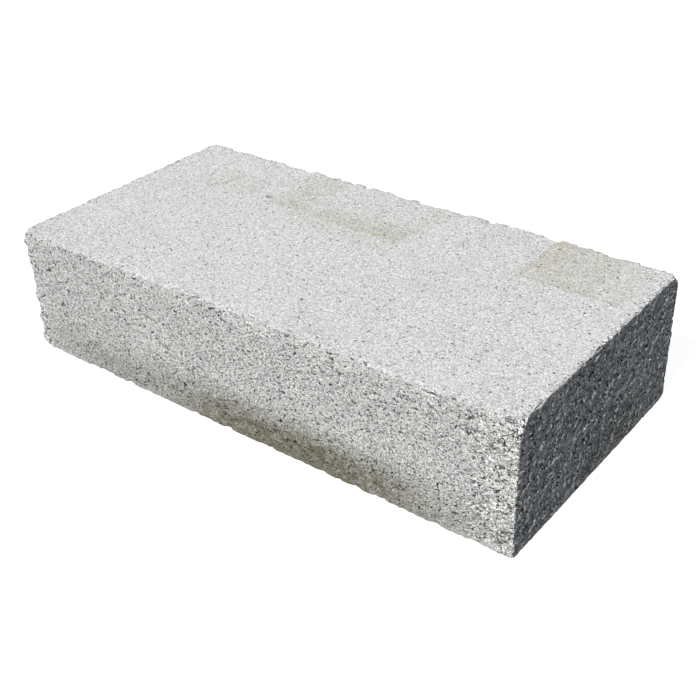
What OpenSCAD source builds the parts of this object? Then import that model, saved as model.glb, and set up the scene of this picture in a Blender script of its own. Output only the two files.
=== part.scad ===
// Solid concrete building block, pressed in one piece, with worn arrises, crumbled edges
// and broken corners. The length lies along X, the width along Y and the height along Z.
// The origin is the middle of the bed face that the block lies on.

/* [Block] */
// Length of the block
block_l = 397; // [190:1:500]
// Width of the block, across its bed face
block_w = 194; // [90:1:300]
// Height of the block as it lies
block_h = 92; // [50:1:200]

/* [Arrises] */
// Radius that handling has worn on every arris
arris_r = 1.5; // [0.5:0.25:4]
// Spacing of the crumbs lost along an arris
crumb_pitch = 26; // [14:1:60]
// Length of the longest crumb, along its arris
crumb_l = 15; // [6:1:24]
// Depth of the deepest crumb, below the worn arris
crumb_d = 1.2; // [0.4:0.1:3]

/* [Breaks] */
// Length of the longest spall knocked off an arris
spall_l = 40; // [20:1:70]
// Depth of the deepest spall, below the worn arris
spall_d = 3; // [1:0.25:6]
// Depth of the deepest corner break, below the sharp corner
corner_d = 7; // [2:0.25:10]
// Radius of the hollow that a corner break leaves
corner_r = 36; // [20:1:80]

/* [Hidden] */
concrete = [0.80, 0.81, 0.79];
arris_fn = 48;
hollow_fn = 72;

// Middle of the block, and half its length, width and height
middle = [0, 0, block_h / 2];
half = [block_l, block_w, block_h] / 2;

// An arris is named by the signs of the two faces that meet there, with 0 for the axis it runs
// along, and a corner by the signs of its three faces.
top_front = [0, -1, 1];
top_back = [0, 1, 1];
top_right = [1, 0, 1];
left_front = [-1, -1, 0];
right_front = [1, -1, 0];
left_back = [-1, 1, 0];
all_arrises = [
    for (axis = [0:2], s = [-1, 1], t = [-1, 1])
        [for (i = [0:2]) i == axis ? 0 : i == (axis + 1) % 3 ? s : t]
];

// Spalls: arris, place along it from -1 to 1, share of the longest, share of the deepest
spalls = [
    [top_front, -0.61, 0.55, 0.40],
    [top_front, -0.08, 0.25, 0.55],
    [top_front, 0.58, 0.60, 0.30],
    [top_front, 0.90, 0.60, 0.60],
    [top_right, -0.78, 0.45, 0.60],
    [top_right, -0.10, 0.40, 0.50],
    [top_right, 0.39, 0.35, 0.45],
    [top_back, -0.76, 0.55, 0.60],
    [top_back, -0.28, 0.40, 0.30],
    [top_back, 0.78, 0.75, 0.95],
    [left_front, 0.70, 0.30, 0.70],
    [left_front, 0.07, 0.25, 0.75],
    [left_front, -0.37, 0.30, 0.80],
    [right_front, 0.55, 0.45, 0.45],
    [right_front, -0.20, 0.40, 0.35],
    [left_back, 0.20, 0.50, 0.60],
];

// Corner breaks: corner, share of the deepest
corner_breaks = [
    [[1, -1, 1], 1.00],
    [[1, 1, 1], 0.75],
    [[-1, -1, 1], 0.55],
    [[-1, 1, 1], 0.30],
    [[1, -1, -1], 0.35],
    [[1, 1, -1], 0.45],
    [[-1, -1, -1], 0.25],
    [[-1, 1, -1], 0.40],
];

// Spread of the crumbs' sizes and places: the least share of the longest and of the deepest, the
// share of a pitch that a crumb may stray, and the most degrees that one leans to either face
crumb_least = 0.45;
crumb_stray = 0.5;
crumb_lean = 16;

// A repeatable number from 0 to 1 for crumb i of a given arris, one for each use
function chance(i, arris, use) =
    let (seed = sin(i * 127.1 + arris * 311.7 + use * 74.7) * 4375.85)
    seed - floor(seed);

// A number that runs from least to 1 with chance
function spread(least, share) = least + (1 - least) * share;

// Depth of the worn arris below the sharp one, along the bisector of its two faces
arris_gap = (sqrt(2) - 1) * arris_r;

// The point at a place from -1 to 1 along an arris, or the corner itself
function place_on(signs, place = 0) =
    middle + [for (i = [0:2]) (signs[i] == 0 ? place : signs[i]) * half[i]];

// The axis that an arris runs along
function run_of(signs) = [for (i = [0:2]) if (signs[i] == 0) i][0];

// Whether an arris belongs to the bed face that was pressed on a board, where no crumb comes loose
function is_pressed_on_board(signs) = signs[2] < 0;

// The outward bisector of an arris, leaned by an angle towards one of its faces
function outward_of(signs, lean) =
    let (
        run = run_of(signs),
        a = (run + 1) % 3,
        b = (run + 2) % 3
    )
    [for (i = [0:2]) i == a ? signs[a] * cos(45 + lean) : i == b ? signs[b] * sin(45 + lean) : 0];

// Radius of the ball that leaves a hollow of this length and depth
function ball_r(length, depth) = (length * length / 4 + depth * depth) / (2 * depth);

// Rounded rectangle, centred
module section(a, b) {
    square([a - 2 * arris_r, b], center = true);
    square([a, b - 2 * arris_r], center = true);
    for (x = [-1, 1], y = [-1, 1])
        translate([x * (a / 2 - arris_r), y * (b / 2 - arris_r)])
            circle(r = arris_r, $fn = arris_fn);
}

// The block as it leaves the press, with its arrises worn round
module pressed_body() {
    translate(middle)
        intersection() {
            linear_extrude(block_h, center = true) section(block_l, block_w);
            rotate([90, 0, 0]) linear_extrude(block_w, center = true) section(block_l, block_h);
            rotate([90, 0, 90]) linear_extrude(block_l, center = true) section(block_w, block_h);
        }
}

// The ball that hollows an arris at a point, to a depth below the worn arris
module arris_hollow(signs, place, length, depth, lean = 0) {
    sunk = depth + arris_gap;
    r = ball_r(length, sunk);
    translate(place_on(signs, place) + outward_of(signs, lean) * (r - sunk))
        sphere(r = r, $fn = hollow_fn);
}

// The ball that breaks a corner, to a depth below the sharp corner
module corner_hollow(signs, depth) {
    translate(place_on(signs) + signs / norm(signs) * (corner_r - depth))
        sphere(r = corner_r, $fn = hollow_fn);
}

// Crumbs spaced along one arris
module crumbs(arris) {
    signs = all_arrises[arris];
    count = max(1, floor(2 * half[run_of(signs)] / crumb_pitch));
    for (i = [0:count - 1]) {
        stray = (chance(i, arris, 1) - 0.5) * crumb_stray;
        arris_hollow(
            signs,
            -1 + 2 * (i + 0.5 + stray) / count,
            crumb_l * spread(crumb_least, chance(i, arris, 2)),
            crumb_d * spread(crumb_least, chance(i, arris, 3)),
            crumb_lean * (2 * chance(i, arris, 4) - 1)
        );
    }
}

// The whole block, in one solid
module concrete_block() {
    color(concrete)
        difference() {
            pressed_body();
            for (arris = [0:len(all_arrises) - 1])
                if (!is_pressed_on_board(all_arrises[arris])) crumbs(arris);
            for (s = spalls) arris_hollow(s[0], s[1], spall_l * s[2], spall_d * s[3]);
            for (c = corner_breaks) corner_hollow(c[0], corner_d * c[1]);
        }
}

concrete_block();
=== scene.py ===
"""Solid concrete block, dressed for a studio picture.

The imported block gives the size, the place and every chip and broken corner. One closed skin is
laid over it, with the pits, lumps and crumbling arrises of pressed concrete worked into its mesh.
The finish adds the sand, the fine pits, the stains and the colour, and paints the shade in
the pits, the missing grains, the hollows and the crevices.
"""

import logging
from collections.abc import Iterable, Mapping
from dataclasses import dataclass
from enum import Enum, IntEnum
from itertools import product
from math import cos, radians, sin
from typing import Any

import bpy
import numpy as np
from mathutils import Matrix, Vector

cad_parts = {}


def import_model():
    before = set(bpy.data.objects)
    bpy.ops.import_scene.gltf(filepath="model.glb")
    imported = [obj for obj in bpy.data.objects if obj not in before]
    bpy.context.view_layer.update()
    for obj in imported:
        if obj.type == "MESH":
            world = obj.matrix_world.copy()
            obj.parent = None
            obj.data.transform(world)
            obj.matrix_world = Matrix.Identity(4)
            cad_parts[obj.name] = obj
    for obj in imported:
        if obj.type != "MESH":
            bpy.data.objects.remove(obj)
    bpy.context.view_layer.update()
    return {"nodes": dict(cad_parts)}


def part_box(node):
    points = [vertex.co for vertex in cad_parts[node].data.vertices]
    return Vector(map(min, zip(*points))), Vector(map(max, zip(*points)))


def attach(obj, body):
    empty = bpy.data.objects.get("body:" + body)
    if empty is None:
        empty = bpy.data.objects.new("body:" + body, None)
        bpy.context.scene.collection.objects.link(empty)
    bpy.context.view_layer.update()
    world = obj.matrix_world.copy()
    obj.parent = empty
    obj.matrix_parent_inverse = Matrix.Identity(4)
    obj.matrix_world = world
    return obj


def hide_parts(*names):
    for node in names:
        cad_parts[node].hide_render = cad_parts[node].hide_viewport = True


Array = np.ndarray
Colour = tuple[float, float, float, float]
Span = tuple[Any, Any]
Socket = bpy.types.NodeSocket
Tree = bpy.types.NodeTree

MM = 0.001
NODE = "concrete_block"

# The whole range of a share, and the range that most values of a noise lie in
UNIT = (0.0, 1.0)
NOISE_SPAN = (0.3, 0.7)

# Between which shares of the way out a point comes to face barely, partly, mostly or fully one way
BARELY = (0.1, 0.3)
PARTLY = (0.0, 0.4)
MOSTLY = (0.3, 0.7)
FULLY = (0.5, 0.9)

# Radius in millimetres that stands for no pit
NO_PIT = 1e-6

log = logging.getLogger("concrete_block")


def linear(hex_colour: str) -> Colour:
    """Turns an sRGB hex colour into linear light.

    Args:
        hex_colour: Six hex digits after a number sign.

    Returns:
        Linear red, green and blue, and an alpha of 1.
    """
    channels = (int(hex_colour[i : i + 2], 16) / 255 for i in (1, 3, 5))
    red, green, blue = (c / 12.92 if c <= 0.04045 else ((c + 0.055) / 1.055) ** 2.4 for c in channels)
    return red, green, blue, 1.0


def add_node(
    tree: Tree, kind: str, inputs: Mapping[str | int, Any] | None = None, **settings: Any
) -> bpy.types.Node:
    """Adds a node with its settings, and sets or links its inputs.

    Args:
        tree: Node tree that takes the node.
        kind: Blender's name for the node, without its ShaderNode prefix.
        inputs: A value, or a socket to link, for each input by name or number.
        settings: The node's own properties.

    Returns:
        The new node.
    """
    node = tree.nodes.new(f"ShaderNode{kind}")
    for name, value in settings.items():
        setattr(node, name, value)
    for key, value in (inputs or {}).items():
        if isinstance(value, Socket):
            tree.links.new(value, node.inputs[key])
        else:
            node.inputs[key].default_value = value
    return node


def kept_value(tree: Tree, name: str) -> Socket:
    """Adds a value that the mesh keeps at each of its points, and returns it."""
    return add_node(tree, "Attribute", attribute_name=name).outputs["Fac"]


def reckon(tree: Tree, operation: str, *values: Any) -> Socket:
    """Adds an operation on numbers, and returns its result."""
    return add_node(tree, "Math", dict(enumerate(values)), operation=operation).outputs[0]


def reckon_vector(tree: Tree, operation: str, *values: Any) -> Socket:
    """Adds an operation on vectors, and returns its result."""
    return add_node(tree, "VectorMath", dict(enumerate(values)), operation=operation).outputs[0]


def noise(tree: Tree, place: Socket, width: float, detail: float, roughness: float) -> bpy.types.Node:
    """Adds a noise with lumps of a width in millimetres, and finer ones laid over them."""
    inputs = {"Vector": place, "Scale": 1 / (width * MM), "Detail": detail, "Roughness": roughness}
    return add_node(tree, "TexNoise", inputs)


def ramped(tree: Tree, source: Socket, span: Span, ends: Span = UNIT, smooth: bool = False) -> Socket:
    """Adds a ramp over a span of a value, from one end to the other, and returns its result."""
    (start, stop), (least, most) = span, ends
    inputs = {"Value": source, "From Min": start, "From Max": stop, "To Min": least, "To Max": most}
    kind = "SMOOTHSTEP" if smooth else "LINEAR"
    return add_node(tree, "MapRange", inputs, interpolation_type=kind).outputs[0]


def shaded(tree: Tree, tone: Any, ramps: Iterable[tuple[Socket, Span, Span]]) -> Socket:
    """Multiplies a tone by ramps, each given as a value, its span and its ends."""
    for source, span, ends in ramps:
        tone = reckon(tree, "MULTIPLY", tone, ramped(tree, source, span, ends))
    return tone


def chance(cells: Array, seed: int) -> Array:
    """Gives each cell of a whole-number lattice a repeatable number from 0 to 1.

    The three cell numbers are multiplied by large primes and added to the seed, and the high bits
    are then folded over the low ones twice.

    Args:
        cells: Cell numbers, one row of three for each cell.
        seed: Number that picks one lattice of chances.

    Returns:
        One chance for each cell.
    """
    x, y, z = (cells.astype(np.int64) & 0xFFFFFFFF).astype(np.uint32).T
    mixed = x * np.uint32(374761393) + y * np.uint32(668265263) + z * np.uint32(2246822519)
    mixed = mixed + np.uint32(seed * 40503 + 2654435)
    mixed = (mixed ^ (mixed >> np.uint32(13))) * np.uint32(1274126177)
    mixed = (mixed ^ (mixed >> np.uint32(16))) * np.uint32(2654435761)
    return (mixed ^ (mixed >> np.uint32(15))) / 2.0**32


def lumps(points: Array, size: float, seed: int) -> Array:
    """Smooth lumps of one size, from -1 to 1.

    Each corner of the cell round a point has a chance value, and the eight are blended by the
    smoothed place of the point in its cell, 6t^5 - 15t^4 + 10t^3 along each axis.

    Args:
        points: Points in millimetres.
        size: Width of a lump in millimetres.
        seed: Number that picks the pattern.

    Returns:
        The height of the lumps at each point.
    """
    place = points / size
    cell = np.floor(place)
    t = place - cell
    t = t * t * t * (t * (6 * t - 15) + 10)
    height = np.zeros(len(points))
    for corner in product((0, 1), repeat=3):
        share = np.where(np.array(corner, bool), t, 1 - t).prod(axis=1)
        height += share * chance(cell + corner, seed)
    return 2 * height - 1


def scattered(points: Array, spacing: float, seed: int) -> tuple[Array, Array, Array]:
    """Finds the nearest of many points scattered in space, one in each cell of a lattice.

    Args:
        points: Points in millimetres.
        spacing: Average spacing of the scattered points in millimetres.
        seed: Number that picks the scatter.

    Returns:
        The distance to the nearest scattered point, the distance to the second nearest, both in
        millimetres, and a chance value that belongs to the nearest.
    """
    place = points / spacing
    cell = np.floor(place)
    nearest = np.full(len(points), np.inf)
    second = nearest.copy()
    owner = np.zeros(len(points))
    for step in product((-1, 0, 1), repeat=3):
        other = cell + step
        spot = other + np.stack([chance(other, seed + axis) for axis in range(3)], axis=1)
        gap = np.sqrt(((place - spot) ** 2).sum(axis=1))
        closer = gap < nearest
        second = np.where(closer, nearest, np.minimum(second, gap))
        owner = np.where(closer, chance(other, seed + 3), owner)
        nearest = np.where(closer, gap, nearest)
    return nearest * spacing, second * spacing, owner


def ease(value: Array, start: float, end: float) -> Array:
    """Rises smoothly from 0 at start to 1 at end, as 3t^2 - 2t^3, and falls where end is less."""
    t = np.clip((value - start) / (end - start), 0, 1)
    return t * t * (3 - 2 * t)


def at_arris(first: Array, second: Array) -> Array:
    """How far points lie on the arris of two sides, from how far they face out of each."""
    return ease(first, *MOSTLY) * ease(second, *PARTLY)


class Side(Enum):
    """A side of the block, as the ways that face out, right and up when it is looked at."""

    TOP = ((0, 0, 1), (1, 0, 0), (0, 1, 0))
    BOTTOM = ((0, 0, -1), (1, 0, 0), (0, -1, 0))
    FRONT = ((0, -1, 0), (1, 0, 0), (0, 0, 1))
    BACK = ((0, 1, 0), (-1, 0, 0), (0, 0, 1))
    RIGHT = ((1, 0, 0), (0, 1, 0), (0, 0, 1))
    LEFT = ((-1, 0, 0), (0, -1, 0), (0, 0, 1))

    def way(self, which: int) -> tuple[int, int]:
        """Axis number and sign of the way out (0), right (1) or up (2)."""
        vector = self.value[which]
        axis = next(i for i in range(3) if vector[i])
        return axis, vector[axis]


class Seed(IntEnum):
    """Number that picks each pattern of chance."""

    WAVES = 1
    LUMPS = 2
    GRIT = 3
    PITS = 11
    CLODS = 21
    CRUMBS = 31
    CRUMB_RIMS = 32
    NICKS = 33
    SCALLOPS = 34
    SCALLOP_RIMS = 35
    STRIPS = 41
    BENDS = 51
    BREAKS = 61
    FINE_BREAKS = 62


@dataclass(frozen=True)
class Relief:
    """What pressing, handling and weather have left in the concrete.

    Each size, spacing, radius, depth, gap, step, reach and chip is in millimetres, and so are bend
    and worn. The rest are shares, and a shade is how dark a place is painted, as shade that
    stands in for its shadow.

    Attributes:
        pit_steepness: Depth of a pit, in radii.
        pit_fill: How many times deeper a pit would be if its floor weren't flat.
        least_pit: Radius of the smallest pit, against the widest.
        closed_pit: Radius of a pit in closed concrete, against one in open concrete.
        closed_share: How many pits closed concrete has, against open concrete.
        cavity: How low a broken face lies where its painted shade starts, and is darkest.
        crumb_shares: Shares of the large and of the fine lumps in the crumbs.
        crumble: How far every arris has crumbled. The next four say how much further three of them
            have, and how much less those of the right end.
        scallop: How high the lumps stand where a scallop starts, and is full.
    """

    wave_size: float = 16.0
    wave_depth: float = 0.25
    lump_size: float = 6.0
    lump_depth: float = 0.25
    grit_size: float = 2.6
    grit_depth: float = 0.35
    bend_size: float = 3.0
    bend: float = 0.9
    pit_spacing: float = 4.4
    pit_radius: float = 1.5
    pit_share: float = 0.34
    pit_steepness: float = 1.1
    pit_fill: float = 1.25
    # The floor of the widest pit is painted this dark, as its shade.
    pit_shade: float = 0.7
    least_pit: float = 0.45
    closed_pit: float = 0.6
    closed_share: float = 0.2
    clod_size: float = 5.2
    clod_flatness: float = 1.35
    clod_gap: float = 1.2
    clod_step: float = 1.2
    clod_depth: float = 2.0
    # The gap beside a loose clod is painted this dark, as its shade.
    clod_shade: float = 0.25
    break_size: float = 4.0
    break_depth: float = 2.6
    break_loose: float = 0.9
    fine_break: float = 0.5
    cavity: Span = (0.25, 0.7)
    # A cavity in a broken face is painted this dark, as its shade.
    cavity_shade: float = 0.8
    worn: float = 0.15
    worn_reach: float = 1.0
    crumb_reach: float = 4.5
    crumb_size: float = 7.0
    crumb_depth: float = 4.0
    crumb_shares: tuple[float, float] = (0.7, 0.5)
    crumble: float = 0.2
    left_front: float = 0.8
    top_back: float = 0.4
    foot: float = 0.15
    right: float = 0.14
    scallop_size: float = 7.0
    scallop: Span = (-0.1, 0.5)
    scallop_rim: float = 0.4
    scallop_share: float = 0.9
    nick_reach: float = 2.2
    nick_size: float = 3.0
    nick_depth: float = 0.6
    right_nick: float = 0.5
    least_chip: float = 1.3
    full_chip: float = 2.2


@dataclass(frozen=True)
class Filling:
    """How well the mould was filled from place to place.

    Lengths are in millimetres, and the end of a strip is in its widths.

    Attributes:
        top_open: How open the struck top face is, where a pressed side is 1.
        bottom_open: How open the bed face is, which was pressed on a smooth board.
        end_pits: How much less pitted than a pressed side the two ends are.
        reach: Width of the loose strip beside an upright arris.
        right_reach: Width of that strip on the front, at the right.
        strip_loose: How loosely its clods are bound. The next two say how much looser they are on
            the front, and again at its right.
        top_reach: Width of the loose strip on the front under the upper arris.
        wander: Share of its width that the edge of a strip wanders by.
        top_calm: How many times less the edge of the upper strip wanders.
    """

    top_open: float = 0.38
    bottom_open: float = 0.12
    # The ends are open all over. Past 1 this only deepens their tone contrast and adds missing grains,
    # which paints the shade of their fine pores and the light on their grains.
    end_open: float = 2.0
    loose_open: float = 0.9
    end_pits: float = 0.1
    end_loose: float = 0.58
    reach: float = 14.0
    right_reach: float = 34.0
    strip_end: float = 1.3
    strip_loose: float = 0.25
    front_loose: float = 0.4
    right_loose: float = 0.35
    top_reach: float = 7.0
    top_end: float = 1.2
    top_loose: float = 0.55
    wander: float = 0.35
    wander_size: float = 18.0
    top_calm: float = 3.0


@dataclass(frozen=True)
class Blowhole:
    """One of the few large holes that trapped air has left, in millimetres."""

    place: tuple[float, float, float]
    radius: float


BLOWHOLES = (
    Blowhole((-92.0, 43.5, 92.0), 3.0),
    Blowhole((-32.0, 68.0, 92.0), 1.7),
    Blowhole((9.0, 55.0, 92.0), 1.4),
    Blowhole((41.0, 8.0, 92.0), 1.3),
    Blowhole((98.0, -50.0, 92.0), 1.3),
    Blowhole((174.0, -28.0, 92.0), 1.4),
    Blowhole((-18.0, -97.0, 86.5), 2.0),
    Blowhole((-15.0, -97.0, 88.0), 1.7),
    Blowhole((-175.0, -97.0, 68.0), 1.7),
    Blowhole((-78.0, -97.0, 30.0), 1.8),
    Blowhole((-50.0, -97.0, 20.0), 1.5),
    Blowhole((-12.0, -97.0, 16.0), 1.7),
    Blowhole((44.0, -97.0, 13.0), 2.0),
    Blowhole((104.0, -97.0, 18.0), 2.0),
    Blowhole((106.0, -97.0, 25.5), 1.8),
    Blowhole((72.0, -97.0, 26.0), 1.6),
    Blowhole((161.0, -97.0, 14.0), 1.8),
    Blowhole((82.0, -97.0, 78.0), 1.6),
    Blowhole((186.0, -97.0, 42.0), 2.2),
    Blowhole((190.0, -97.0, 74.0), 2.2),
    Blowhole((169.0, -97.0, 82.0), 1.9),
)


@dataclass
class BlockSkin:
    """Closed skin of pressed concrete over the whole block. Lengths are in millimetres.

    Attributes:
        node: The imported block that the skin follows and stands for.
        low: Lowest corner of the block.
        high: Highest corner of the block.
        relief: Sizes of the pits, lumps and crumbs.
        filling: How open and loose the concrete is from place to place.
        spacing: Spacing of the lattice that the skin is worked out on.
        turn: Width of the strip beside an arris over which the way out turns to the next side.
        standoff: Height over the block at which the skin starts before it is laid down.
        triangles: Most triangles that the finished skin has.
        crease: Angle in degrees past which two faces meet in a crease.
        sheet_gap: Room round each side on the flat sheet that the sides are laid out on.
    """

    node: bpy.types.Object
    low: Array
    high: Array
    relief: Relief = Relief()
    filling: Filling = Filling()
    spacing: float = 0.95
    turn: float = 6.0
    standoff: float = 2.0
    triangles: int = 196_000
    crease: float = 32.0
    sheet_gap: float = 6.0

    @property
    def half(self) -> Array:
        """Half the block's length, width and height."""
        return (self.high - self.low) / 2

    @property
    def middle(self) -> Array:
        """Middle of the block."""
        return (self.high + self.low) / 2

    def lattice(self) -> tuple[Array, Array, Array]:
        """Lays a square lattice on the six sides and welds it along the arrises.

        A point is known by its three whole lattice numbers, so sides share those on their arrises.

        Returns:
            The points, the four corners of each face by number, and their places on a flat sheet
            that the sides are laid out on.
        """
        counts = np.ceil(2 * self.half / self.spacing).astype(int)
        keys, places = [], []
        for side in Side:
            (out, facing), (right, right_sign), (up, up_sign) = (side.way(i) for i in range(3))
            across, upward = np.meshgrid(
                np.arange(counts[right] + 1)[::right_sign],
                np.arange(counts[up] + 1)[::up_sign],
                indexing="ij",
            )
            numbers = np.zeros((*across.shape, 3), int)
            numbers[..., right] = across
            numbers[..., up] = upward
            numbers[..., out] = counts[out] if facing > 0 else 0
            key = numbers @ np.array([1, counts[0] + 1, (counts[0] + 1) * (counts[1] + 1)])
            sheet = self.on_sheet(side, numbers * (2 * self.half / counts))
            for grid, kept in ((key, keys), (sheet, places)):
                corners = (grid[:-1, :-1], grid[1:, :-1], grid[1:, 1:], grid[:-1, 1:])
                kept.append(np.stack(corners, axis=2).reshape(-1, 4, *grid.shape[2:]))
        used, faces = np.unique(np.concatenate(keys), return_inverse=True)
        z, y, x = np.unravel_index(used, counts[::-1] + 1)
        points = self.low + np.stack([x, y, z], axis=1) * (2 * self.half / counts)
        return points, faces.reshape(-1, 4), np.concatenate(places)

    def on_sheet(self, side: Side, offsets: Array) -> Array:
        """Places one side's points on the flat sheet.

        Top and bottom lie one over the other, the two ends lie side by side above them, and the
        front and back stand on end at the right.

        Args:
            side: The side that the points are on.
            offsets: Their offsets from the block's lowest corner.

        Returns:
            Places on the square sheet, from 0 to 1.
        """
        length, width, height = 2 * self.half
        gap = self.sheet_gap
        corner = {
            Side.TOP: (gap, gap),
            Side.BOTTOM: (gap, width + 2 * gap),
            Side.RIGHT: (gap, 2 * width + 3 * gap),
            Side.LEFT: (width + 2 * gap, 2 * width + 3 * gap),
            Side.FRONT: (length + 2 * gap, gap),
            Side.BACK: (length + height + 3 * gap, gap),
        }[side]
        flat = []
        for which in (1, 2):
            axis, sign = side.way(which)
            along = offsets[..., axis]
            flat.append(along if sign > 0 else 2 * self.half[axis] - along)
        if side in (Side.FRONT, Side.BACK):
            flat = [height - flat[1], flat[0]]
        sheet = length + 2 * height + 4 * gap
        return (np.stack(flat, axis=-1) + np.array(corner)) / sheet

    def outward(self, points: Array) -> Array:
        """Way out at points of the sharp box, turning from side to side beside the arrises.

        Args:
            points: Points on the sharp box.

        Returns:
            Unit vectors from the nearest point of a box that lies one turn deeper.
        """
        inner = np.clip(points, self.low + self.turn, self.high - self.turn)
        ways = points - inner
        return ways / np.linalg.norm(ways, axis=1, keepdims=True)

    def laid_on_block(self, points: Array, faces: Array, ways: Array) -> Array:
        """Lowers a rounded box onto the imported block, along its own normals.

        Args:
            points: Points on the sharp box.
            faces: Corners of each face by number.
            ways: Way out at each point.

        Returns:
            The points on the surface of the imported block, in its chips and broken corners too.
        """
        start = np.clip(points, self.low + self.turn, self.high - self.turn)
        start = start + ways * (self.turn + self.standoff)
        draft = bpy.data.objects.new("draft", new_mesh("draft", start, faces))
        bpy.context.scene.collection.objects.link(draft)
        wrap = draft.modifiers.new("lower", "SHRINKWRAP")
        wrap.target = self.node
        wrap.wrap_method = "PROJECT"
        wrap.use_negative_direction = True
        wrap.use_positive_direction = False
        wrap.project_limit = (self.standoff + self.turn) * MM
        # A point that slips between two of the block's triangles is brought down by the nearest way.
        press = draft.modifiers.new("press", "SHRINKWRAP")
        press.target = self.node
        press.wrap_method = "NEAREST_SURFACEPOINT"
        lowered = draft.evaluated_get(bpy.context.evaluated_depsgraph_get()).data
        places = np.zeros(len(points) * 3, np.float32)
        lowered.vertices.foreach_get("co", places)
        mesh = draft.data
        bpy.data.objects.remove(draft)
        bpy.data.meshes.remove(mesh)
        return places.reshape(-1, 3).astype(float) / MM

    def rubble(self, points: Array, ways: Array) -> Array:
        """Works out how loosely the clods are bound.

        The mould fills worst beside its upright arrises, most of all at the right of the front, and
        under the front's upper arris. The ends are loose all over.

        Args:
            points: Points on the block's surface.
            ways: Way out at each point.

        Returns:
            The looseness at each point, from 0 to 1.
        """
        fill = self.filling
        from_sides = self.half - np.abs(points - self.middle)
        beside = np.max(from_sides[:, :2], axis=1)
        front = ease(-ways[:, 1], *FULLY)
        right_front = front * (points[:, 0] > self.middle[0])
        reach = fill.reach + (fill.right_reach - fill.reach) * right_front
        wander = fill.wander * reach * lumps(points, fill.wander_size, Seed.STRIPS)
        strip = (1 - ways[:, 2] ** 2) * np.clip(fill.strip_end - (beside + wander) / reach, 0, 1)
        bound = fill.strip_loose + fill.front_loose * front + fill.right_loose * right_front
        inside_end = ease(np.min(from_sides[:, 1:], axis=1), 0, self.turn)
        below_top = self.high[2] - points[:, 2] + wander / fill.top_calm
        under_top = front * np.clip(fill.top_end - below_top / fill.top_reach, 0, 1)
        strips = np.maximum(strip * bound, fill.top_loose * under_top)
        return np.maximum(strips, fill.end_loose * ways[:, 0] ** 2 * inside_end)

    def bowl(self, across: Array) -> Array:
        """Depth of a pit from 0 to 1, at a distance from its middle in radii."""
        return np.clip(self.relief.pit_fill * (1 - across**2), 0, 1)

    def pits(self, bent: Array, rough: Array) -> tuple[Array, Array]:
        """Works out the pits and the blowholes.

        A pit is a bowl with a flat floor round each scattered point whose chance is low enough, and
        the higher that chance the wider it is. Closed concrete has fewer and smaller ones.

        Args:
            bent: Points on the block's surface, bent by small lumps.
            rough: How rough the concrete is at each point, from 0 to 1.

        Returns:
            The depth of the pits at each point, and how dark their painted shade is, from 0 to 1.
        """
        r = self.relief
        nearest, _, owner = scattered(bent, r.pit_spacing, Seed.PITS)
        radius = r.pit_radius * (r.least_pit + (1 - r.least_pit) * owner / r.pit_share)
        radius = radius * (r.closed_pit + (1 - r.closed_pit) * rough)
        share = r.pit_share * (r.closed_share + (1 - r.closed_share) * rough)
        radius = np.where(owner < share, radius, NO_PIT)
        pit = self.bowl(nearest / radius)
        # The floors of the pits and of the blowholes are painted dark as shade, the wider the darker.
        hollow = r.pit_shade * pit * radius / r.pit_radius
        for hole in BLOWHOLES:
            across = np.linalg.norm(bent - np.array(hole.place), axis=1) / hole.radius
            deeper = across < nearest / radius
            radius = np.where(deeper, hole.radius, radius)
            pit = np.where(deeper, self.bowl(across), pit)
            hollow = np.where(deeper, pit, hollow)
        return r.pit_steepness * radius * pit, hollow

    def crumbled(self, points: Array, ways: Array, beside: Array) -> Array:
        """Works out what has crumbled off the arrises: crumbs, deeper scallops and fine nicks.

        Args:
            points: Points on the block's surface.
            ways: Way out at each point.
            beside: Distance of each point from the nearest arris.

        Returns:
            The depth that is lost at each point.
        """
        r = self.relief
        left_front = at_arris(-ways[:, 0], -ways[:, 1])
        top_back = at_arris(ways[:, 2], ways[:, 1])
        foot = at_arris(-ways[:, 2], -ways[:, 1])
        right = ease(ways[:, 0], *BARELY)
        crumble = r.crumble + r.left_front * left_front + r.top_back * top_back + r.foot * foot
        crumble = np.clip(crumble - r.right * right, 0, 1)
        large, fine = r.crumb_shares
        lost = large * lumps(points, r.crumb_size, Seed.CRUMBS)
        lost = np.clip(lost + fine * lumps(points, r.nick_size, Seed.CRUMB_RIMS), 0, 1)
        bite = lumps(points, r.scallop_size, Seed.SCALLOPS)
        bite = bite + r.scallop_rim * lumps(points, r.nick_size, Seed.SCALLOP_RIMS)
        scallop = ease(bite, *r.scallop) * r.scallop_share
        lost = np.maximum(lost, scallop * np.maximum(left_front, top_back))
        nick = np.clip(lumps(points, r.nick_size, Seed.NICKS), 0, 1) * ease(beside, r.nick_reach, 0)
        crumbs = r.crumb_depth * lost * ease(beside, r.crumb_reach, 0) * crumble
        return crumbs + r.nick_depth * nick * (1 - r.right_nick * right)

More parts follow.
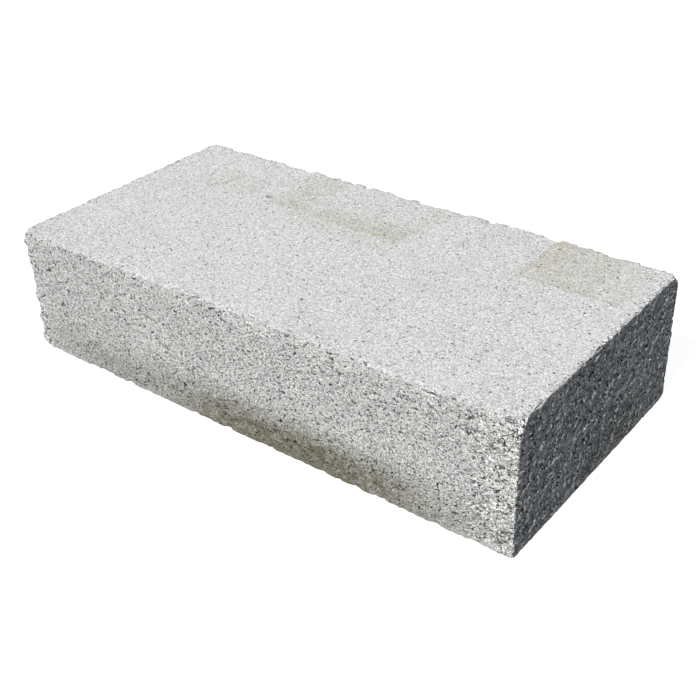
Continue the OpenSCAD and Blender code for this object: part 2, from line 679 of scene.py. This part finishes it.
    def relieved(self, points: Array, ways: Array, broken: Array) -> tuple[Array, dict[str, Array]]:
        """Works out the relief of the concrete.

        Waves, lumps and grit are three sizes of smooth lumps. A loosely bound clod is all that lies
        nearest to one scattered point: it stands lower by a step times its chance to the fourth
        power, so few stand much lower, and the gap beside it deepens to where the two nearest
        points are equally far.

        Args:
            points: Points on the block's surface.
            ways: Way out at each point.
            broken: How far each point lies in a chip or broken corner, from 0 to 1.

        Returns:
            The height at each point, and by name what the finish needs to know there: how dark the
            painted shade in its pits, clod gaps and broken cavities is, how open, pitted and loose it is,
            and how far it faces an end.
        """
        r, fill = self.relief, self.filling
        upright = 1 - ways[:, 2] ** 2
        top = np.clip(ways[:, 2], 0, 1) ** 2
        bottom = np.clip(-ways[:, 2], 0, 1) ** 2
        end = ways[:, 0] ** 2
        beside = np.sort(self.half - np.abs(points - self.middle), axis=1)[:, 1]
        loose = np.maximum(self.rubble(points, ways), r.break_loose * broken)
        side = ways[:, 1] ** 2 + fill.end_open * end
        opened = side + fill.top_open * top + fill.bottom_open * bottom
        opened = np.maximum(opened, fill.loose_open * loose)
        rough = np.minimum(opened, 1)

        height = r.wave_depth * lumps(points, r.wave_size, Seed.WAVES) / 2 * upright
        height += r.lump_depth * lumps(points, r.lump_size, Seed.LUMPS) / 2 * rough
        height += r.grit_depth * lumps(points, r.grit_size, Seed.GRIT) / 2 * rough

        bends = [lumps(points, r.bend_size, Seed.BENDS + i) for i in range(3)]
        bent = points + r.bend * np.stack(bends, axis=1)
        depth, hollow = self.pits(bent, rough)
        height -= depth

        nearest, second, owner = scattered(bent * (1, 1, r.clod_flatness), r.clod_size, Seed.CLODS)
        gap = ease(second - nearest, r.clod_gap, 0)
        height -= (r.clod_step * owner**4 + r.clod_depth * gap * owner) * loose

        rugged = lumps(bent, r.break_size, Seed.BREAKS)
        rugged = rugged + r.fine_break * lumps(bent, r.break_size / 2, Seed.FINE_BREAKS)
        height += r.break_depth * rugged / 2 * broken
        # The lowest places of a broken face are painted dark, as the shade in its cavities.
        cavity = ease(-rugged, *r.cavity) * broken

        height -= self.crumbled(points, ways, beside)
        height -= r.worn * ease(beside, r.worn_reach, 0)
        # The highest points of the bed face lie on the floor.
        height -= np.maximum(height, 0) * bottom

        # Painted shade in the pits, in the gaps beside loose clods and in the cavities of broken faces.
        dark = [hollow, r.clod_shade * gap * owner * loose, r.cavity_shade * cavity]
        return height, {
            "hollow": np.clip(np.maximum.reduce(dark), 0, 1),
            "open": opened,
            "pitted": rough - fill.end_pits * end,
            "loose": loose,
            "end": end,
        }

    def build(self) -> bpy.types.Object:
        """Makes the skin, thins its mesh where it is flat, and returns its object."""
        points, faces, sheet = self.lattice()
        ways = self.outward(points)
        surface = self.laid_on_block(points, faces, ways)
        lost = ((points - surface) * ways).sum(axis=1)
        broken = ease(lost, self.relief.least_chip, self.relief.full_chip)
        surface = points - ways * (lost * broken)[:, None]
        height, known = self.relieved(surface, ways, broken)
        mesh = new_mesh("block_skin", surface + ways * height[:, None], faces)
        for name, values in known.items():
            layer = mesh.attributes.new(name, "FLOAT", "POINT")
            layer.data.foreach_set("value", values.astype(np.float32))
        layer = mesh.uv_layers.new(name="OFBake")
        layer.uv.foreach_set("vector", sheet.reshape(-1).astype(np.float32))
        skin = bpy.data.objects.new("block_skin", mesh)
        bpy.context.scene.collection.objects.link(skin)
        thin = skin.modifiers.new("thin", "DECIMATE")
        thin.ratio = min(1.0, self.triangles / (2 * len(faces)))
        thinned = skin.evaluated_get(bpy.context.evaluated_depsgraph_get())
        skin.data = bpy.data.meshes.new_from_object(thinned)
        skin.modifiers.clear()
        bpy.data.meshes.remove(mesh)
        skin.data.shade_smooth()
        skin.data.set_sharp_from_angle(angle=radians(self.crease))
        return skin

    def dress(self, skin: bpy.types.Object, material: bpy.types.Material) -> None:
        """Gives the skin its finish, hangs it on the root body, and hides the imported block."""
        skin.data.materials.clear()
        skin.data.materials.append(material)
        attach(skin, "root")
        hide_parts(NODE)


def new_mesh(name: str, points: Array, faces: Array) -> bpy.types.Mesh:
    """Makes a mesh from arrays.

    Args:
        name: Name of the mesh.
        points: Points in millimetres.
        faces: Four corners of each face, by number.

    Returns:
        The mesh, in metres.
    """
    mesh = bpy.data.meshes.new(name)
    mesh.vertices.add(len(points))
    mesh.vertices.foreach_set("co", (points * MM).astype(np.float32).ravel())
    mesh.loops.add(faces.size)
    mesh.loops.foreach_set("vertex_index", faces.astype(np.int32).ravel())
    mesh.polygons.add(len(faces))
    mesh.polygons.foreach_set("loop_start", np.arange(0, faces.size, faces.shape[1], dtype=np.int32))
    mesh.update(calc_edges=True)
    mesh.shade_smooth()
    return mesh


class Tint(Enum):
    """What a stain at full strength multiplies the colour of the concrete by."""

    SOIL = "#dddccb"
    RUST = "#f6e6d8"
    DAMP = "#9d9987"


@dataclass(frozen=True)
class Stain:
    """A stain that fills a box of the block's surface, in millimetres.

    Attributes:
        tint: What it colours the concrete with.
        along: Where it starts and ends along the length.
        across: Where it starts and ends through the width.
        soft: Width over which its edge fades.
        strength: How much of its tint shows in its middle.
        up: Where it starts and ends up the height.
    """

    tint: Tint
    along: tuple[float, float]
    across: tuple[float, float]
    soft: float
    strength: float
    up: tuple[float, float] = (88.0, 96.0)


STAINS = (
    Stain(Tint.SOIL, (118, 166), (40, 101), 1.5, 0.24),
    Stain(Tint.SOIL, (128, 188), (42, 98), 9.0, 0.24),
    Stain(Tint.SOIL, (117, 188), (38, 41.0), 1.0, 0.46),
    Stain(Tint.SOIL, (115, 118.5), (40, 99), 1.0, 0.40),
    Stain(Tint.RUST, (117, 131), (50, 99), 5.0, 0.28),
    Stain(Tint.RUST, (115, 122), (90, 99), 3.0, 0.50),
    Stain(Tint.SOIL, (-44, 29), (34, 54), 4.0, 0.25),
    Stain(Tint.SOIL, (-96, 28), (33, 46), 3.0, 0.24),
    Stain(Tint.SOIL, (-62, 26), (20, 38), 7.0, 0.19),
    Stain(Tint.SOIL, (-84, -54), (38, 94), 7.0, 0.36),
    Stain(Tint.SOIL, (-40, 44), (50, 96), 12.0, 0.14),
    Stain(Tint.SOIL, (22, 32), (48, 90), 6.0, 0.16),
    Stain(Tint.SOIL, (-137, -133), (42, 63), 1.4, 0.42),
    Stain(Tint.SOIL, (-152, -104), (36, 64), 8.0, 0.22),
    Stain(Tint.DAMP, (194, 202), (-15, 50), 12.0, 0.40, up=(-6, 30)),
)


@dataclass(frozen=True)
class Speck:
    """A layer of small ragged pits, which open where a noise falls under a level.

    The noise has a width in millimetres, and the level is closed plus rise times how pitted it is.
    The finish paints the pits dark, as their shade.
    """

    width: float
    closed: float
    rise: float


@dataclass(frozen=True)
class PressedConcrete:
    """Dry pressed concrete: pale cement and sand, open pits, and no gloss at all.

    The eye sees a light grey that is nearly neutral, made of flat grains of about a millimetre,
    some missing, with small ragged pits and finer sand over all, and crevices under loose clods.
    The missing grains, the pits, the crevices and the mesh's hollows are painted dark, as their
    shade. Where damp has stood it is darker and browner, and where soil has dried on it is a
    little yellow. Lengths are in millimetres: grain, sand, clod, blotch and mottle are widths, and
    bump is the height of a bump. A tone is what the colour is multiplied by in such a place, or in
    its darkest and its palest, and a rise or a sink is a height in bumps.

    Attributes:
        missing: Share of the grains that are missing where the concrete is fully open.
        missing_rim: How far into that share a grain is wholly missing.
        crinkle: Width and reach of the bends in the rims of the grains.
        flatness: How many times wider than high the grains and pits are.
        end_from: How far a point faces an end where the grains stop lying flat.
        speck_rim: Height of the noise over which the rim of a speck fades.
        crevice_share: Share of the clods with a crevice where the concrete is loosest.
        crevice_rim: Distance from a clod's edge where a crevice starts, and is full, in clods.
        crevice_drop: Distance below a clod's middle likewise.
        contrast: Power of the tones in closed concrete, and what is added in open concrete.
        dome: How far a grain's rim lies below its middle.
        bump_span: How open the concrete is where its bumps are lowest, and full.
        wobble: Width and reach of the wandering edge of a stain.
        patchy: Strength of a stain in its palest and darkest spots.
        damp_rise: Heights between which the damp on the front fades out.
        damp_depth: Places through the width likewise.
        damp_along: Places along the front, and the strength of the damp there.
    """

    cement: str = "#dadad8"
    roughness: float = 0.95
    specular: float = 0.25
    grain: float = 1.15
    missing: float = 0.06
    missing_rim: float = 0.5
    crinkle: tuple[float, float] = (1.5, 1.0)
    flatness: float = 1.6
    end_from: float = 0.5
    sand: float = 0.75
    specks: tuple[Speck, ...] = (Speck(2.1, 0.235, 0.125), Speck(4.0, 0.175, 0.145))
    speck_rim: float = 0.025
    clod: float = 4.2
    clod_flatness: float = 1.2
    crevice_share: float = 0.5
    crevice_rim: Span = (0.17, 0.09)
    crevice_drop: Span = (0.10, 0.30)
    blotch: float = 55.0
    grain_tone: Span = (0.85, 1.15)
    sand_tone: Span = (0.48, 1.62)
    # How dark the hole of a missing grain is painted, as its shade.
    missing_shade_tone: float = 0.25
    # How dark the specks are painted, as the shade in these small pits.
    speck_shade_tone: float = 0.15
    blotch_tone: Span = (0.965, 1.03)
    # How dark the hollows of the mesh are painted, as their shade.
    hollow_tone: float = 0.06
    # How dark the crevice under a clod is painted, as the clod's shadow.
    crevice_shadow_tone: float = 0.10
    loose_tone: float = 1.12
    contrast: tuple[float, float] = (0.74, 0.62)
    bump: float = 0.7
    dome: float = 0.5
    grain_rise: float = 0.3
    sand_rise: float = 1.0
    missing_sink: float = 0.8
    speck_sink: float = 1.4
    crevice_sink: float = 1.0
    bump_span: Span = (0.2, 1.0)
    least_bump: float = 0.5
    wobble: tuple[float, float] = (12.0, 3.5)
    mottle: float = 6.0
    patchy: Span = (0.65, 1.35)
    damp_rise: Span = (10.0, 40.0)
    damp_depth: Span = (-90.0, -80.0)
    damp_along: tuple[tuple[float, float], ...] = (
        (-198.0, 0.0),
        (-130.0, 0.42),
        (-70.0, 0.46),
        (-10.0, 0.92),
        (60.0, 1.0),
        (110.0, 0.8),
        (150.0, 0.45),
        (198.0, 0.1),
    )

    def material(self) -> bpy.types.Material:
        """Builds the material, on the block's own coordinates."""
        made = bpy.data.materials.new("pressed_concrete")
        made.use_nodes = True
        tree = made.node_tree
        tree.nodes.clear()
        place = add_node(tree, "TexCoord").outputs["Object"]
        tone, height = self.speckled(tree, place)
        dry = add_node(tree, "VectorMath", {0: linear(self.cement)[:3], "Scale": tone}, operation="SCALE")
        colour = self.stained(tree, place, dry.outputs[0])
        bump = add_node(tree, "Bump", {"Height": height, "Strength": 1.0, "Distance": self.bump * MM})
        shader = add_node(
            tree,
            "BsdfPrincipled",
            {
                "Base Color": colour,
                "Roughness": self.roughness,
                "Specular IOR Level": self.specular,
                "Normal": bump.outputs["Normal"],
            },
        )
        add_node(tree, "OutputMaterial", {"Surface": shader.outputs[0]})
        return made

    def speckled(self, tree: Tree, place: Socket) -> tuple[Socket, Socket]:
        """Adds the grains, the sand, the specks, the crevices and the cloudy patches.

        Args:
            tree: Node tree of the material.
            place: The block's own coordinates.

        Returns:
            What the colour is multiplied by, and the height of the grains.
        """
        opened = kept_value(tree, "open")
        hollow = kept_value(tree, "hollow")
        crooked = self.crooked(tree, place, self.flatness)
        loose = kept_value(tree, "loose")
        crevice = self.crevices(tree, self.crooked(tree, place, self.clod_flatness), loose)
        grain = add_node(tree, "TexVoronoi", {"Vector": crooked, "Scale": 1 / (self.grain * MM)})
        pick = add_node(tree, "SeparateColor", {"Color": grain.outputs["Color"]}).outputs
        kept = reckon(tree, "MULTIPLY_ADD", opened, -self.missing, 1.0)
        missing = ramped(tree, pick["Blue"], (kept, 1.0))
        sand = noise(tree, place, self.sand, detail=2.0, roughness=0.6).outputs["Fac"]
        pitted = kept_value(tree, "pitted")
        speck: Any = 0.0
        # The specks are small pits, sunk by the bump and painted dark as their shade.
        for layer in self.specks:
            speck = reckon(tree, "MAXIMUM", speck, self.specked(tree, crooked, pitted, layer))
        fine = (
            (pick["Red"], UNIT, self.grain_tone),
            (sand, NOISE_SPAN, self.sand_tone),
            # Painted shade in the holes of missing grains
            (missing, (0.0, self.missing_rim), (1.0, self.missing_shade_tone)),
            (speck, UNIT, (1.0, self.speck_shade_tone)),
        )
        tone = shaded(tree, 1.0, fine)
        in_closed, more_in_open = self.contrast
        contrast = reckon(tree, "MULTIPLY_ADD", opened, more_in_open, in_closed)
        tone = reckon(tree, "POWER", tone, contrast)

        blotch = noise(tree, place, self.blotch, detail=4.0, roughness=0.55).outputs["Fac"]
        broad = (
            (blotch, NOISE_SPAN, self.blotch_tone),
            # Painted shade in the mesh's pits, clod gaps and broken cavities
            (hollow, UNIT, (1.0, self.hollow_tone)),
            # Painted shadow under the loose clods
            (crevice, UNIT, (1.0, self.crevice_shadow_tone)),
            (loose, UNIT, (1.0, self.loose_tone)),
        )
        tone = shaded(tree, tone, broad)

        height: Any = 0.0
        for source, rise in (
            (grain.outputs["Distance"], -self.dome),
            (pick["Green"], self.grain_rise),
            (sand, self.sand_rise),
            (missing, -self.missing_sink),
            (speck, -self.speck_sink),
            (crevice, -self.crevice_sink),
        ):
            height = reckon(tree, "MULTIPLY_ADD", source, rise, height)
        strength = ramped(tree, opened, self.bump_span, (self.least_bump, 1.0))
        return tone, reckon(tree, "MULTIPLY", height, strength)

    def crooked(self, tree: Tree, place: Socket, flatness: float) -> Socket:
        """Bends coordinates by fine noise, and squeezes them so that patterns lie flat off the ends."""
        width, reach = self.crinkle
        bends = noise(tree, place, width, detail=1.0, roughness=0.5)
        bent = reckon_vector(tree, "MULTIPLY_ADD", bends.outputs["Color"], (reach * MM,) * 3, place)
        on_end = reckon(tree, "GREATER_THAN", kept_value(tree, "end"), self.end_from)
        squeeze = ramped(tree, on_end, UNIT, (flatness, 1.0))
        flat = add_node(tree, "CombineXYZ", {0: 1.0, 1: 1.0, 2: squeeze})
        return reckon_vector(tree, "MULTIPLY", bent, flat.outputs[0])

    def crevices(self, tree: Tree, place: Socket, loose: Socket) -> Socket:
        """Adds the dark crevices under loosely bound clods.

        A clod is all that lies nearest to one scattered point. Its crevice is the rim below that
        point, and the looser the concrete the more clods have one. The crevice stands in for the
        clod's shadow: it is painted dark, and sunk a little by the bump.

        Args:
            tree: Node tree of the material.
            place: Crooked coordinates.
            loose: How loosely the concrete is bound.

        Returns:
            The depth of the crevices, from 0 to 1, which also sets how dark their painted shadow is.
        """
        scale = 1 / (self.clod * MM)
        clod = add_node(tree, "TexVoronoi", {"Vector": place, "Scale": scale})
        rim = add_node(tree, "TexVoronoi", {"Vector": place, "Scale": scale}, feature="DISTANCE_TO_EDGE")
        over = reckon_vector(tree, "SUBTRACT", clod.outputs["Position"], place)
        axes = add_node(tree, "SeparateXYZ", {0: over})
        pick = add_node(tree, "SeparateColor", {"Color": clod.outputs["Color"]})
        least = reckon(tree, "MULTIPLY_ADD", loose, -self.crevice_share, 1.0)
        drop_start, drop_full = self.crevice_drop
        depth: Any = 1.0
        for source, span in (
            (rim.outputs["Distance"], self.crevice_rim),
            (axes.outputs["Z"], (drop_start / scale, drop_full / scale)),
            (pick.outputs["Red"], (least, 1.0)),
        ):
            depth = reckon(tree, "MULTIPLY", depth, ramped(tree, source, span, smooth=True))
        return depth

    def specked(self, tree: Tree, place: Socket, pitted: Socket, layer: Speck) -> Socket:
        """Adds one layer of small ragged pits on crooked coordinates, and returns their depth."""
        lie = noise(tree, place, layer.width, detail=2.0, roughness=0.6)
        level = reckon(tree, "MULTIPLY_ADD", pitted, layer.rise, layer.closed)
        rim = reckon(tree, "ADD", level, self.speck_rim)
        return ramped(tree, lie.outputs["Fac"], (level, rim), (1.0, 0.0))

    def stained(self, tree: Tree, place: Socket, colour: Socket) -> Socket:
        """Lays the stains over a colour, with edges that wander.

        Args:
            tree: Node tree of the material.
            place: The block's own coordinates.
            colour: Colour of the dry concrete.

        Returns:
            The stained colour.
        """
        width, reach = self.wobble
        edge = noise(tree, place, width, detail=4.0, roughness=0.7).outputs["Color"]
        shifted = reckon_vector(tree, "SUBTRACT", place, (reach * MM / 2,) * 3)
        wandering = reckon_vector(tree, "MULTIPLY_ADD", edge, (reach * MM,) * 3, shifted)
        mottle = noise(tree, place, self.mottle, detail=3.0, roughness=0.6)
        patchy = ramped(tree, mottle.outputs["Fac"], NOISE_SPAN, self.patchy)
        for tint in Tint:
            cover = self.covered(tree, wandering, tint)
            if tint is Tint.DAMP:
                cover = reckon(tree, "MAXIMUM", cover, self.damp_on_front(tree, wandering))
            share = add_node(tree, "Math", {0: cover, 1: patchy}, operation="MULTIPLY", use_clamp=True)
            colour = add_node(
                tree,
                "Mix",
                {"Factor": share.outputs[0], 6: colour, 7: linear(tint.value)},
                data_type="RGBA",
                blend_type="MULTIPLY",
            ).outputs[2]
        return colour

    def covered(self, tree: Tree, place: Socket, tint: Tint) -> Socket:
        """Adds up the strengths of the stains of one tint.

        The distance of a point outside a stain's box is the largest of its three distances from
        the middle, each less half the box.

        Args:
            tree: Node tree of the material.
            place: Coordinates with a wandering edge.
            tint: The tint.

        Returns:
            The strength at each point.
        """
        total: Any = 0.0
        for stain in STAINS:
            if stain.tint is not tint:
                continue
            low, high = (Vector(ends) * MM for ends in zip(stain.along, stain.across, stain.up))
            from_middle = reckon_vector(tree, "SUBTRACT", place, (low + high) / 2)
            distance = reckon_vector(tree, "ABSOLUTE", from_middle)
            outside = reckon_vector(tree, "SUBTRACT", distance, (high - low) / 2)
            axes = add_node(tree, "SeparateXYZ", {0: outside}).outputs
            flat = reckon(tree, "MAXIMUM", axes[0], axes[1])
            most = reckon(tree, "MAXIMUM", flat, axes[2])
            soft = stain.soft * MM
            cover = ramped(tree, most, (-soft, soft), (stain.strength, 0.0), smooth=True)
            total = reckon(tree, "ADD", total, cover)
        return total

    def damp_on_front(self, tree: Tree, place: Socket) -> Socket:
        """Adds the damp that has risen from the foot of the front: its strength along, up and in."""
        axes = add_node(tree, "SeparateXYZ", {0: place}).outputs
        first, last = self.damp_along[0][0], self.damp_along[-1][0]
        share = ramped(tree, axes[0], (first * MM, last * MM))
        along = add_node(tree, "ValToRGB", {0: share})
        stops = along.color_ramp.elements
        while len(stops) < len(self.damp_along):
            stops.new(1.0)
        for stop, (x, level) in zip(stops, self.damp_along):
            stop.position = (x - first) / (last - first)
            stop.color = (level, level, level, 1.0)
        strength = along.outputs["Color"]
        for axis, (full, none) in ((2, self.damp_rise), (1, self.damp_depth)):
            fade = ramped(tree, axes[axis], (full * MM, none * MM), (1.0, 0.0), smooth=True)
            strength = reckon(tree, "MULTIPLY", strength, fade)
        return strength


@dataclass(frozen=True)
class Lamp:
    """A lamp far off in one direction, as wide in the sky as its spread in degrees."""

    name: str
    way: tuple[float, float, float]
    power: float
    spread: float
    colour: str

    def hang(self) -> None:
        """Makes the lamp and puts it in the scene."""
        lamp = bpy.data.lights.new(self.name, "SUN")
        lamp.energy = self.power
        lamp.angle = radians(self.spread)
        lamp.color = linear(self.colour)[:3]
        hung = bpy.data.objects.new(self.name, lamp)
        hung.rotation_euler = Vector(self.way).to_track_quat("Z", "Y").to_euler()
        bpy.context.scene.collection.objects.link(hung)


@dataclass(frozen=True)
class Studio:
    """Pale floor, dim cool sky, one key light and a weak fill behind, and the camera.

    Angles are in degrees, and lengths in metres.

    Attributes:
        floor_bounce: Colour of the light that the floor throws back.
        floor_colour: Colour that the seen floor takes from the lamps.
        floor_glow: Brightness of the seen floor in full shadow.
        azimuth: Turn of the camera round the block, from the front to the right.
        focal_share: Focal length over the width of the picture.
    """

    lamps: tuple[Lamp, ...] = (
        Lamp("key", (0.035, -0.95, 1.0), 3.6, 6.0, "#fffefc"),
        Lamp("fill", (-0.75, 0.65, 0.2), 1.0, 40.0, "#f3f5f9"),
    )
    sky_colour: str = "#d8e8ff"
    sky_power: float = 0.14
    floor_size: float = 12.0
    floor_bounce: str = "#5a5a5a"
    floor_colour: str = "#8a8a8a"
    floor_glow: float = 0.93
    azimuth: float = 38.893
    elevation: float = 31.963
    roll: float = 2.205
    distance: float = 0.70778
    target: tuple[float, float, float] = (0.03874, -0.03322, 0.046)
    focal_share: float = 1105.911 / 700
    near: float = 0.01

    def build(self) -> None:
        """Makes the floor, the sky, the lamps and the camera."""
        self.lay_floor()
        self.light_sky()
        for lamp in self.lamps:
            lamp.hang()
        self.set_camera()

    def seen(self, tree: Tree) -> Socket:
        """Adds a value that is 1 for rays from the camera, a gloss or a glass, and 0 for others."""
        path = add_node(tree, "LightPath").outputs
        either = reckon(tree, "MAXIMUM", path["Is Camera Ray"], path["Is Glossy Ray"])
        return reckon(tree, "MAXIMUM", either, path["Is Transmission Ray"])

    def lay_floor(self) -> None:
        """Lays a floor that looks white with a faint shadow, and throws little light back."""
        half = self.floor_size / 2
        corners = [(-half, -half, 0), (half, -half, 0), (half, half, 0), (-half, half, 0)]
        mesh = bpy.data.meshes.new("floor")
        mesh.from_pydata(corners, [], [(0, 1, 2, 3)])
        floor = bpy.data.objects.new("floor", mesh)
        bpy.context.scene.collection.objects.link(floor)
        made = bpy.data.materials.new("white_floor")
        made.use_nodes = True
        tree = made.node_tree
        tree.nodes.clear()
        dark = add_node(tree, "BsdfDiffuse", {"Color": linear(self.floor_bounce)})
        pale = add_node(tree, "BsdfDiffuse", {"Color": linear(self.floor_colour)})
        glow = add_node(tree, "Emission", {"Strength": self.floor_glow})
        white = add_node(tree, "AddShader", {0: pale.outputs[0], 1: glow.outputs[0]})
        shown = add_node(tree, "MixShader", {0: self.seen(tree), 1: dark.outputs[0], 2: white.outputs[0]})
        add_node(tree, "OutputMaterial", {"Surface": shown.outputs[0]})
        mesh.materials.append(made)

    def light_sky(self) -> None:
        """Makes a world that looks white and lights the block as a dim, cool sky."""
        world = bpy.data.worlds.new("sky")
        bpy.context.scene.world = world
        world.use_nodes = True
        tree = world.node_tree
        tree.nodes.clear()
        sky = add_node(tree, "Background", {"Color": linear(self.sky_colour), "Strength": self.sky_power})
        white = add_node(tree, "Background", {"Color": (1.0, 1.0, 1.0, 1.0), "Strength": 1.0})
        shown = add_node(tree, "MixShader", {0: self.seen(tree), 1: sky.outputs[0], 2: white.outputs[0]})
        add_node(tree, "OutputWorld", {"Surface": shown.outputs[0]})

    def set_camera(self) -> None:
        """Sets the camera on a sphere round its target, turned about its own line of sight."""
        turn, tilt, roll = radians(self.azimuth), radians(self.elevation), radians(self.roll)
        back = Vector((sin(turn) * cos(tilt), -cos(turn) * cos(tilt), sin(tilt)))
        level = Vector((0, 0, 1)).cross(back).normalized()
        upright = back.cross(level)
        right = level * cos(roll) - upright * sin(roll)
        up = level * sin(roll) + upright * cos(roll)
        lens = bpy.data.cameras.new("camera")
        lens.sensor_fit = "HORIZONTAL"
        lens.lens = lens.sensor_width * self.focal_share
        lens.clip_start = self.near
        camera = bpy.data.objects.new("camera", lens)
        facing = Matrix((right, up, back)).transposed().to_4x4()
        camera.matrix_world = Matrix.Translation(Vector(self.target) + back * self.distance) @ facing
        bpy.context.scene.collection.objects.link(camera)
        bpy.context.scene.camera = camera


def main() -> None:
    """Builds the skin and the studio."""
    logging.basicConfig(level=logging.INFO, format="%(name)s: %(message)s")
    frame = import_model()
    low, high = (np.array(corner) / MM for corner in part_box(NODE))
    block = BlockSkin(frame["nodes"][NODE], low, high)
    skin = block.build()
    block.dress(skin, PressedConcrete().material())
    log.info("%s: %d faces", skin.name, len(skin.data.polygons))
    Studio().build()
    bpy.context.scene.view_settings.view_transform = "Standard"


if __name__ == "__main__":
    main()
